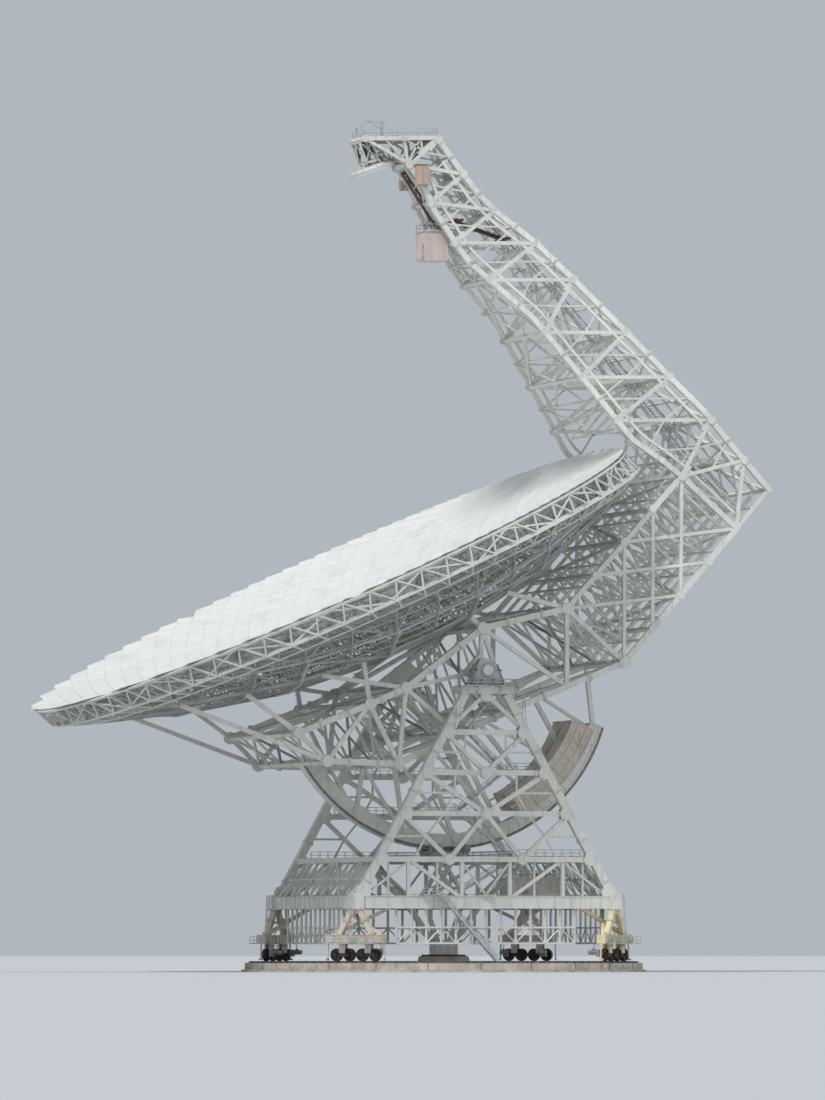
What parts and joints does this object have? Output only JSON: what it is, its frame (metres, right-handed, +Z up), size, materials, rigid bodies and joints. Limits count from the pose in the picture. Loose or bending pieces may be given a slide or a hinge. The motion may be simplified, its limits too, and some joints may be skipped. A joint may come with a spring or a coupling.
{
  "type": "one-tenth scale radio telescope dish",
  "caption": "Fully steerable radio telescope: tilted off-axis dish on a lattice back frame with a long feed arm, on a four-legged turning frame over a round track.",
  "frame": {"origin": "centre of the underside of the central foundation, on the azimuth axis at ground level", "axes": "+Z up along the azimuth axis, -X the way the dish looks at rest, Y along the elevation axis"},
  "size_m": [12.2547, 10, 14.0865],
  "materials": {
    "white_paint": "weathered white paint",
    "web_paint": "weathered white paint",
    "grey_paint": "satin grey",
    "dish_skin": "matt white paint",
    "concrete": "rough cast concrete",
    "rail_steel": "rolled bright",
    "cabin_panel": "satin cream",
    "dark_steel": "satin dark grey"
  },
  "bodies": {
    "foundation": {"track_foundation_ring": "concrete", "track_rail": "rail_steel", "pintle_foundation": "concrete"},
    "alidade": {"base_frame": "white_paint", "pintle_pyramid": "white_paint", "tower_left": "white_paint", "elevation_bearing_left": "grey_paint", "tower_right": "white_paint", "elevation_bearing_right": "grey_paint", "front_end_frame": "web_paint", "corner_truck_front_left": "cabin_panel", "wheel_set_front_left": "dark_steel", "hub_strut_front_left": "white_paint", "corner_truck_front_right": "cabin_panel", "wheel_set_front_right": "dark_steel", "hub_strut_front_right": "white_paint", "rear_end_frame": "web_paint", "corner_truck_rear_left": "cabin_panel", "wheel_set_rear_left": "dark_steel", "hub_strut_rear_left": "white_paint", "corner_truck_rear_right": "cabin_panel", "wheel_set_rear_right": "dark_steel", "hub_strut_rear_right": "white_paint", "elevation_drive": "grey_paint", "equipment_room": "cabin_panel"},
    "tipping_structure": {"reflector_surface": "dish_skin", "rim_truss": "web_paint", "reflector_purlins": "grey_paint", "dish_rib_right_outer": "grey_paint", "dish_rib_right_middle": "grey_paint", "dish_rib_right_inner": "grey_paint", "dish_rib_centre": "grey_paint", "dish_rib_left_inner": "grey_paint", "dish_rib_left_middle": "grey_paint", "dish_rib_left_outer": "grey_paint", "dish_lower_bracing": "grey_paint", "box_frame_left": "white_paint", "box_frame_right": "white_paint", "box_under_bracing": "web_paint", "box_top_bracing": "web_paint", "elevation_wheel": "white_paint", "counterweight_left": "white_paint", "counterweight_right": "white_paint", "feed_arm_side_left": "white_paint", "arm_beam_side_left": "white_paint", "feed_arm_side_right": "white_paint", "arm_beam_side_right": "white_paint", "feed_arm_front_bracing": "web_paint", "feed_arm_rear_bracing": "web_paint", "arm_beam_lower_bracing": "web_paint", "arm_beam_upper_bracing": "web_paint", "arm_head_frame": "white_paint", "receiver_room": "cabin_panel", "prime_focus_boom": "dark_steel", "subreflector": "dish_skin", "subreflector_mount": "grey_paint"}
  },
  "joints": [
    {"name": "azimuth", "type": "hinge", "parent": "foundation", "child": "alidade", "pos_m": [0, 0, 0.2], "axis": [0, 0, 1], "range_deg": [-270, 270]},
    {"name": "elevation", "type": "hinge", "parent": "alidade", "child": "tipping_structure", "pos_m": [0, 0, 5.01], "axis": [0, 1, 0], "range_deg": [-36.3, 48.7]}
  ]
}
